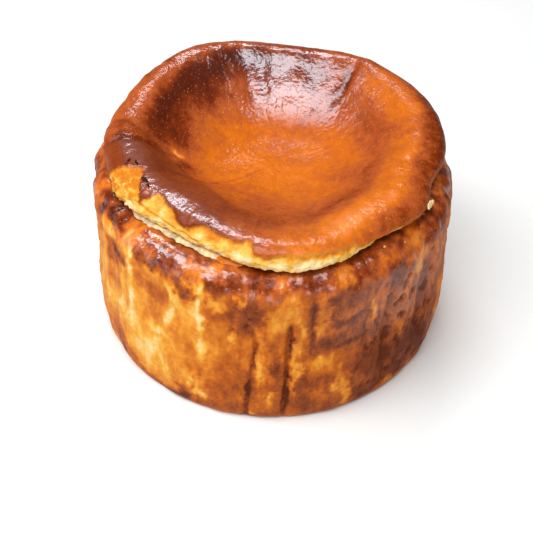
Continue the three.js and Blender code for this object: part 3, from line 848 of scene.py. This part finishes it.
class Shell:
    """A closed surface: a grid of points in millimetres whose columns run round, with quads
    between its rows and triangles from its first and last row to a point at each end."""

    def __init__(self, points, low_end, high_end, fields):
        rows, columns = points.shape[:2]
        index = np.arange(rows * columns).reshape(rows, columns)
        beside = np.roll(index, -1, axis=1)
        quads = np.stack([index[:-1], beside[:-1], beside[1:], index[1:]], axis=-1)
        self.quads = quads.reshape(-1, 4)
        low, high = np.full(columns, index.size), np.full(columns, index.size + 1)
        foot = np.stack([low, beside[0], index[0]], axis=-1)
        self.triangles = np.concatenate([foot, np.stack([index[-1], beside[-1], high], axis=-1)])
        self.points = np.concatenate([points.reshape(-1, 3), [low_end, high_end]])
        self.fields = {name: self.spread(values, index.shape) for name, values in fields.items()}
        if self.volume() < 0:
            self.quads, self.triangles = self.quads[:, ::-1], self.triangles[:, ::-1]

    @staticmethod
    def spread(values, shape):
        """One number for each point, with the mean of the nearest row at each end."""
        values = np.broadcast_to(np.asarray(values, dtype=float), shape)
        return np.concatenate([values.ravel(), [values[0].mean(), values[-1].mean()]])

    def volume(self):
        """Six times the volume: the sum over all faces of a . (b x c)."""
        faces = np.concatenate([self.quads[:, :3], self.quads[:, [0, 2, 3]], self.triangles])
        a, b, c = (self.points[faces[:, k]] for k in range(3))
        return np.einsum("ij,ij->", a, np.cross(b, c))


def mesh_of(name, shells):
    """One mesh of closed shells, with their fields as attributes of its points."""
    starts = np.concatenate([[0], np.cumsum([len(shell.points) for shell in shells])])
    faces = [part + start for shell, start in zip(shells, starts)
             for part in (shell.quads, shell.triangles)]
    corners = np.concatenate([part.ravel() for part in faces])
    sides = np.concatenate([np.full(len(part), part.shape[1]) for part in faces])
    points = np.concatenate([shell.points for shell in shells]) * MM
    loop_starts = np.concatenate([[0], np.cumsum(sides)[:-1]])
    mesh = bpy.data.meshes.new(name)
    mesh.vertices.add(len(points))
    mesh.loops.add(len(corners))
    mesh.polygons.add(len(sides))
    mesh.vertices.foreach_set("co", points.astype(np.float32).ravel())
    mesh.loops.foreach_set("vertex_index", corners.astype(np.int32))
    mesh.polygons.foreach_set("loop_start", loop_starts.astype(np.int32))
    mesh.update(calc_edges=True)
    mesh.validate()
    mesh.shade_smooth()
    for field in shells[0].fields:
        values = np.concatenate([shell.fields[field] for shell in shells]).astype(np.float32)
        mesh.attributes.new(field, "FLOAT", "POINT").data.foreach_set("value", values)
    return mesh


def add_piece(name, shells, *finishes):
    """A new object of closed shells, with the materials of its finishes, riding with the cake."""
    mesh = mesh_of(name, shells)
    for finish in finishes:
        mesh.materials.append(custard_material(finish, bpy.context.scene.cake_colours))
    piece = bpy.data.objects.new(name, mesh)
    bpy.context.scene.collection.objects.link(piece)
    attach(piece, BODY)
    return piece


def unit(vector):
    """A vector divided by its length."""
    return np.asarray(vector, dtype=float) / np.linalg.norm(vector)


def oval(turn, power):
    """The height of a squarish oval: the sine's sign times its size to a power."""
    return np.sign(np.sin(turn)) * np.abs(np.sin(turn)) ** power


def leaf(place, along, up, size, bend, fields):
    """A thin curled flake of (length, width, thickness). Its middle line is an arc of `bend`
    degrees that starts along `along` and turns towards `up`; its width is that of an ellipse,
    notched by two sine waves; its section is a flat oval."""
    length, width, thickness = size
    along, across = unit(along), unit(np.cross(up, along))
    up = np.cross(along, across)
    u = np.linspace(-0.96, 0.96, 15)[:, None]
    turn = np.linspace(0, 2 * np.pi, 12, endpoint=False)[None, :]
    arc, reach = math.radians(bend) * u / 2, length / math.radians(bend)
    notched = 1 + 0.16 * np.sin(9 * u + length) + 0.1 * np.sin(17 * u)
    flat = width / 2 * np.sqrt(1 - u * u) * notched * np.cos(turn)
    radius = reach - thickness / 2 * oval(turn, 0.7)

    def on_arc(radius, arc, side):
        """A point on an arc of this radius whose middle touches the flake's place."""
        ahead, rise = radius * np.sin(arc), reach - radius * np.cos(arc)
        parts = (np.asarray(part)[..., None] for part in (ahead, side, rise))
        return place + sum(part * way for part, way in zip(parts, (along, across, up)))

    ends = (on_arc(reach, half, 0.0) for half in (-math.radians(bend) / 2, math.radians(bend) / 2))
    return Shell(on_arc(radius, arc, flat), *ends, fields)


def lump(place, size, draw):
    """A crumb: a ball of 5 rows and 8 columns whose radius changes at random."""
    rise = np.linspace(-0.8, 0.8, 5)[:, None] * np.pi / 2
    turn = np.linspace(0, 2 * np.pi, 8, endpoint=False)[None, :]
    radius = size * draw.uniform(0.7, 1.25, size=(5, 8))
    ball = [radius * np.cos(rise) * np.cos(turn), radius * np.cos(rise) * np.sin(turn),
            0.8 * radius * np.sin(rise)]
    ends = [place + np.array([0, 0, side * 0.75 * size]) for side in (-1, 1)]
    fields = loose_fields(draw.uniform(0.1, 0.7), torn=1.0)
    return Shell(place + np.stack(ball, axis=-1), *ends, fields)


def loose_fields(browning, torn=0.0, char=0.0):
    """The attributes of a piece that has come off the skin."""
    fields = {"browning": browning, "torn": torn, "char": char}
    return {**fields, "top": 0.0, "rolled": 0.0, "glaze": 0.1}


# -------- materials

MOTTLING = 0.34  # how far the flecks lift or lower how baked the skin looks
GLAZE_IOR = 1.8  # butterfat that has fried onto the skin, shinier than plain fat at 1.46
BUMP_SIZES = (3.0, 1.5, 0.7)  # mm across: wrinkles, orange peel and grain
# Roughness of the butterfat film, and the heights in mm of those bumps.
FINISHES = {
    "browned_side": (0.18, (0.34, 0.16, 0.06)),
    "burnt_top": (0.14, (0.18, 0.18, 0.08)),
    "torn_custard": (0.40, (0.50, 0.30, 0.12)),
    "roll_skin": (0.24, (0.22, 0.07, 0.03)),
}
# Colours against how baked the custard is: on the side, on the top, and where it is torn.
RAMPS = (
    ((0.0, "cream"), (0.17, "gold"), (0.36, "amber"), (0.55, "toffee"), (0.72, "caramel"),
     (0.98, "umber")),
    ((0.0, "top_pale"), (0.26, "top_light"), (0.42, "top_floor"), (0.60, "top_mid"),
     (0.80, "top_dark"), (1.0, "burnt")),
    ((0.0, "dried"), (0.12, "cream"), (0.24, "cream"), (0.46, "custard"), (0.78, "honey"),
     (1.0, "toffee")),
)
# Light dots on the top, partly pale pores and partly painted glints, in mm and as strengths:
# (gap, radius, radius of the bright middle, most).
PORES_AND_GLINTS = ((2.4, 0.17, 0.08, 0.5), (1.3, 0.30, 0.12, 0.36))


def add_node(tree, kind, settings=None, links=None, output=0):
    """An output of a new node with its properties or socket values set and its inputs linked."""
    node = tree.nodes.new("ShaderNode" + kind)
    for key, value in (settings or {}).items():
        if isinstance(key, str) and hasattr(node, key):
            setattr(node, key, value)
        else:
            node.inputs[key].default_value = value
    for key, source in (links or {}).items():
        tree.links.new(source, node.inputs[key])
    return node.outputs[output] if node.outputs else None


def custard_colour(add, place, colours):
    """The colour of the custard: how baked it looks, with its painted shade and light, mottled,
    through the side's, the top's and the torn custard's own ramps, with grains of scorch, light
    dots that are partly pores and partly painted glints, and char over them."""
    brown_and_shade, torn, char, top, rolled = (
        add("Attribute", {"attribute_name": name}, output="Fac")
        for name in ("browning", "torn", "char", "top", "rolled"))
    # Flecks 2 mm across and grains of scorch 1.1 mm across: (size, detail, roughness).
    flecks, grains = (
        add("TexNoise", {"Scale": 1 / (size * MM), "Detail": detail, "Roughness": rough},
            {"Vector": place}) for size, detail, rough in ((2.0, 5.0, 0.65), (1.1, 2.0, 0.5)))
    mottled = add("Math", {"operation": "MULTIPLY_ADD", 1: MOTTLING}, {0: flecks, 2: brown_and_shade})
    level = add("Math", {"operation": "SUBTRACT", 1: MOTTLING / 2}, {0: mottled})
    ramps = []
    for (_, first), *stops in RAMPS:
        ramps.append(add("ValToRGB", links={"Fac": level}))
        elements = ramps[-1].node.color_ramp.elements
        elements.remove(elements[-1])
        elements[0].position, elements[0].color = 0.0, (*getattr(colours, first), 1)
        for position, name in stops:
            elements.new(position).color = (*getattr(colours, name), 1)
    side, skin, crumb = ramps

    # The grains show only where the side is already brown.
    grain = add("MapRange", {"From Min": 0.54, "From Max": 0.66}, {"Value": grains})
    enough = add("MapRange", {"From Min": 0.5, "From Max": 0.85, "To Max": 0.85}, {"Value": level})
    scorched = add("Math", {"operation": "MULTIPLY"}, {0: grain, 1: enough})
    smooth = add("Math", {"operation": "SUBTRACT", 0: 1.0}, {1: rolled})
    dots = []
    for gap, edge, middle, most in PORES_AND_GLINTS:
        pore_and_glint = add("TexVoronoi", {"Scale": 1 / (gap * MM)}, {"Vector": place})
        dot = add("MapRange", {"From Min": edge, "From Max": middle}, {"Value": pore_and_glint})
        chance = {"Value": pore_and_glint.node.outputs["Color"]}
        faint = add("MapRange", {"From Min": 0.35, "To Max": most}, chance)
        for share in (faint, smooth):
            dot = add("Math", {"operation": "MULTIPLY"}, {0: dot, 1: share})
        dots.append(dot)
    dull = add("Math", {"operation": "MULTIPLY", 1: 0.5}, {0: rolled})

    # Each layer goes over what is below it: the side's grains, the top's light dots (pores and
    # painted glints) and its roll skin, the top over the side, torn custard over both, and char
    # over all.
    def paint(name):
        return {7: (*getattr(colours, name), 1)}

    def layered(below, layers):
        for settings, links, share in layers:
            settings, links = {"data_type": "RGBA", **settings}, {6: below, **links, 0: share}
            below = add("Mix", settings, links, output=2)
        return below

    side = layered(side, [(paint("umber"), {}, scorched)])
    pale = [(paint("top_pale"), {}, dot) for dot in dots]
    skin = layered(skin, [*pale, (paint("roll_skin"), {}, dull)])
    return layered(side, [({}, {7: skin}, top), ({}, {7: crumb}, torn), (paint("char"), {}, char)])


def custard_material(name, colours):
    """Baked cream-cheese custard with a heat-browned skin. The eye sees a mottled caramel; a film
    of butterfat makes the skin shiny, while torn custard is pale, dull crumb."""
    if name in bpy.data.materials:
        return bpy.data.materials[name]
    film_roughness, heights = FINISHES[name]
    material = bpy.data.materials.new(name)
    material.use_nodes = True
    material.node_tree.nodes.clear()
    add = partial(add_node, material.node_tree)
    place = add("TexCoord", output="Object")
    dull = add("TexNoise", {"Scale": 1 / (2.0 * MM), "Detail": 5.0}, {"Vector": place})
    links = {
        "Base Color": custard_colour(add, place, colours),
        "Roughness": add("MapRange", {"To Min": 0.4, "To Max": 0.62}, {"Value": dull}),
        "Coat Weight": add("Attribute", {"attribute_name": "glaze"}, output="Fac"),
    }
    normal = {}
    for size, height in zip(BUMP_SIZES, heights):
        rise = add("TexNoise", {"Scale": 1 / (size * MM)}, {"Vector": place})
        normal = {"Normal": add("Bump", {"Distance": height * MM}, {"Height": rise, **normal})}
    shader = add(
        "BsdfPrincipled",
        {"IOR": 1.45, "Specular IOR Level": 0.03, "Subsurface Weight": 0.08,
         "Subsurface Scale": 1.5 * MM, "Subsurface Radius": (1.0, 0.45, 0.2),
         "Coat Roughness": film_roughness, "Coat IOR": GLAZE_IOR},
        {**links, **normal, "Coat Normal": normal["Normal"]})
    add("OutputMaterial", links={"Surface": shader})
    return material


def floor_material():
    """Matt painted studio board, so the eye sees only a soft contact shadow."""
    material = bpy.data.materials.new("studio_board")
    material.use_nodes = True
    shader = material.node_tree.nodes["Principled BSDF"]
    shader.inputs["Base Color"].default_value = (*srgb("#E9E4DB"), 1)
    shader.inputs["Roughness"].default_value = 0.8
    return material


# -------- operators


class CAKE_OT_whole_cake(bpy.types.Operator):
    """Builds the cake's skin, from base to sunken top, as one closed mesh"""

    bl_idname = "cake.whole_cake"
    bl_label = "Whole cake"

    def execute(self, context):
        cake = finished_cake(context)
        shell = Shell(cake.points, cake.shift, cake.points[-1].mean(axis=0), cake.fields)
        piece = add_piece("cheesecake_skin", [shell], *FINISHES)
        # A face takes the finish of its first corner.
        grid = cake.finish
        finish = np.concatenate([grid[:-1].ravel(), grid[0], grid[-1]])
        piece.data.polygons.foreach_set("material_index", finish.astype(np.int32))
        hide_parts(NODE)
        return {"FINISHED"}


# The torn layer that hangs under the lip at the front left: its angles, and in mm how far in it
# joins the cap, how far it drops and how thick it is.
FLAP_FROM, FLAP_TO = -152.0, -101.0
FLAP_ROOT, FLAP_DROP, FLAP_THICKNESS = 6.0, 1.5, 0.9


class CAKE_OT_torn_flap(bpy.types.Operator):
    """Builds the thin ragged layer of custard that hangs under the torn lip"""

    bl_idname = "cake.torn_flap"
    bl_label = "Torn flap"

    def execute(self, context):
        cake = finished_cake(context)
        angle = np.linspace(FLAP_FROM, FLAP_TO, 170)[:, None]
        turn = np.linspace(0, 2 * np.pi, 22, endpoint=False)[None, :]
        out = (1 - np.cos(turn)) / 2
        edge, lower = (cake.outline.at(name, angle) for name in ("lip_radius", "lip_height"))
        rim = turned(angle, edge, lower)
        ragged, wave = cloud(rim, 5.0, 111, 3, fade=0.6), 0.5 * cloud(rim, 9.0, 117, 2)
        middle, half = (FLAP_FROM + FLAP_TO) / 2, (FLAP_TO - FLAP_FROM) / 2
        tapered = 1 - ((angle - middle) / half) ** 6
        radius = edge - FLAP_ROOT + (FLAP_ROOT + 0.2 + 2.0 * ragged) * tapered * out
        thick = FLAP_THICKNESS / 2 * oval(turn, 0.6) * (0.5 + 0.5 * tapered)
        height = lower + 0.4 - (FLAP_DROP + wave) * out ** 1.3 + thick
        points = cake.inside(turned(angle, radius, height) + cake.shift)
        ends = (points[row].mean(axis=0) for row in (0, -1))
        shell = Shell(points, *ends, loose_fields(0.3 * np.abs(ragged), torn=1.0))
        add_piece("torn_flap", [shell], "torn_custard")
        return {"FINISHED"}


# Curled flakes of skin: (stretch, t, angle, lift, heading, tilt, (length, width, thickness), bend,
# (browning, torn, char)). Heading is the way it points, in degrees round +Z; tilt raises its up
# side.
FLAKES = (
    ("ledge", 0.0, -103.5, 0.3, -14, 25, (11.0, 4.4, 0.5), 60, (0.5, 0.0, 0.0)),
    ("ledge", 0.2, -109, 0.3, -30, 10, (6.0, 2.4, 0.4), 60, (0.62, 0.0, 0.0)),
    ("lip_face", 0.9, -27, 0.7, 63, 68, (5.8, 2.8, 0.6), 40, (0.12, 1.0, 0.0)),
    ("roll", 0.93, -160, 0.3, 115, 15, (3.2, 0.9, 0.3), 90, (0.9, 0.0, 1.0)),
    ("roll", 0.80, -163, 0.3, 60, 20, (2.4, 0.8, 0.3), 80, (0.9, 0.0, 0.9)),
    ("roll", 0.90, -149, 0.3, -40, 15, (3.4, 1.1, 0.3), 90, (0.9, 0.0, 1.0)),
    ("roll", 0.85, -145, 0.3, -70, 20, (2.2, 0.8, 0.3), 80, (0.9, 0.0, 1.0)),
)


class CAKE_OT_curled_flakes(bpy.types.Operator):
    """Builds the flakes of skin that have curled away along the tear and on the shoulder"""

    bl_idname = "cake.curled_flakes"
    bl_label = "Curled flakes"

    def execute(self, context):
        cake, shells = finished_cake(context), []
        for stretch, t, angle, lift, heading, tilt, size, bend, looks in FLAKES:
            along = turned(heading, 1.0, 0.0)
            lean = math.radians(tilt)
            up = turned(angle, math.sin(lean), math.cos(lean))
            place = cake.spot(stretch, t, angle) + lift * up
            shells.append(leaf(place, along, up, size, bend, loose_fields(*looks)))
        add_piece("curled_flakes", shells, "browned_side")
        return {"FINISHED"}


# Crumbs: how many lie on the ledge in each range of angles.
CRUMB_RANGES = ((-140, -104, 3), (-70, -24, 3), (20, 160, 5))
CRUMB_SEED = 19


class CAKE_OT_crumbs(bpy.types.Operator):
    """Scatters small crumbs on the shoulder, below the torn edge"""

    bl_idname = "cake.crumbs"
    bl_label = "Crumbs"

    def execute(self, context):
        cake, shells = finished_cake(context), []
        draw = np.random.default_rng(CRUMB_SEED)
        for low, high, count in CRUMB_RANGES:
            for angle in draw.uniform(low, high, size=count):
                size = draw.uniform(0.25, 0.55)
                place = cake.spot("shoulder", draw.uniform(0.7, 1.0), angle)
                shells.append(lump(place + np.array([0, 0, 0.5 * size]), size, draw))
        add_piece("crumbs", shells, "torn_custard")
        return {"FINISHED"}


# The camera and lights, in metres, in the cake's frame.
CAMERA_PLACE = (-0.00202, -0.35664, 0.35350)
CAMERA_TARGET = (-0.00202, 0.00524, 0.01092)
CAMERA_ROLL = 1.457  # degrees
CAMERA_LENS, CAMERA_SENSOR = 73.5, 36.0  # mm

# Soft lights: (name, place, target, turn in degrees, width, depth, power in watts).
LIGHTS = (
    ("front_softbox", (-0.46, -0.29, 1.05), (-0.46, -0.29, 0.0), -15, 1.44, 0.60, 23.0),
    ("back_softbox", (-0.15, 0.62, 1.05), (-0.15, 0.62, 0.0), 0, 0.50, 0.18, 6.6),
    ("left_fill", (-1.3, -0.7, 0.35), (0, 0, 0.04), 0, 0.7, 0.5, 2.0),
    ("front_fill", (0.35, -1.5, 0.55), (0, 0, 0.04), 0, 1.0, 0.6, 8.0),
)
LIGHT_COLOUR = "#EEF5FF"
WORLD_STRENGTH = 0.14
FLOOR_HALF = 3.0


def add_aimed(name, data, place, target, turn):
    """A new light or camera that looks at its target, turned about its line of sight."""
    thing = bpy.data.objects.new(name, data)
    aim = (Vector(target) - Vector(place)).to_track_quat("-Z", "Y")
    thing.location, thing.rotation_mode = place, "QUATERNION"
    thing.rotation_quaternion = aim @ Quaternion((0, 0, 1), math.radians(turn))
    bpy.context.scene.collection.objects.link(thing)
    return thing


class CAKE_OT_studio(bpy.types.Operator):
    """Adds the pale floor, the soft lights and the camera"""

    bl_idname = "cake.studio"
    bl_label = "Studio"

    def execute(self, context):
        scene = context.scene
        half = FLOOR_HALF
        corners = [(-half, -half, 0), (half, -half, 0), (half, half, 0), (-half, half, 0)]
        mesh = bpy.data.meshes.new("floor")
        mesh.from_pydata(corners, [], [(0, 1, 2, 3)])
        mesh.materials.append(floor_material())
        floor = bpy.data.objects.new("floor", mesh)
        scene.collection.objects.link(floor)
        for name, place, target, turn, width, depth, power in LIGHTS:
            light = bpy.data.lights.new(name, "AREA")
            light.shape, light.energy, light.color = "RECTANGLE", power, srgb(LIGHT_COLOUR)
            light.size, light.size_y = width, depth
            add_aimed(name, light, place, target, turn)
        scene.world = bpy.data.worlds.new("studio")
        scene.world.use_nodes = True
        sky = scene.world.node_tree.nodes["Background"].inputs
        sky["Color"].default_value = (*srgb("#FFFFFF"), 1)
        sky["Strength"].default_value = WORLD_STRENGTH
        camera = bpy.data.cameras.new("camera")
        camera.lens, camera.sensor_width = CAMERA_LENS, CAMERA_SENSOR
        camera.clip_start, camera.clip_end = 0.01, 20.0
        scene.camera = add_aimed("camera", camera, CAMERA_PLACE, CAMERA_TARGET, CAMERA_ROLL)
        scene.view_settings.view_transform = "Standard"
        return {"FINISHED"}


class CAKE_PT_panel(bpy.types.Panel):
    """Lists the cake's sizes, colours and pieces"""

    bl_idname = "CAKE_PT_panel"
    bl_label = "Basque cheesecake"
    bl_space_type = "VIEW_3D"
    bl_region_type = "UI"
    bl_category = "Cake"

    def draw(self, context):
        for group in (context.scene.cake_shape, context.scene.cake_colours):
            box = self.layout.box()
            for key in group.__annotations__:
                box.prop(group, key)
        for operator in OPERATORS:
            self.layout.operator(operator.bl_idname)


OPERATORS = (
    CAKE_OT_whole_cake, CAKE_OT_torn_flap, CAKE_OT_curled_flakes, CAKE_OT_crumbs, CAKE_OT_studio,
)
CLASSES = (CakeShape, CakeColours, *OPERATORS, CAKE_PT_panel)


def register():
    for cls in CLASSES:
        bpy.utils.register_class(cls)
    bpy.types.Scene.cake_shape = bpy.props.PointerProperty(type=CakeShape)
    bpy.types.Scene.cake_colours = bpy.props.PointerProperty(type=CakeColours)


def unregister():
    del bpy.types.Scene.cake_colours
    del bpy.types.Scene.cake_shape
    for cls in reversed(CLASSES):
        bpy.utils.unregister_class(cls)


def main():
    register()
    bpy.ops.cake.whole_cake()
    bpy.ops.cake.torn_flap()
    bpy.ops.cake.curled_flakes()
    bpy.ops.cake.crumbs()
    bpy.ops.cake.studio()


if __name__ == "__main__":
    main()
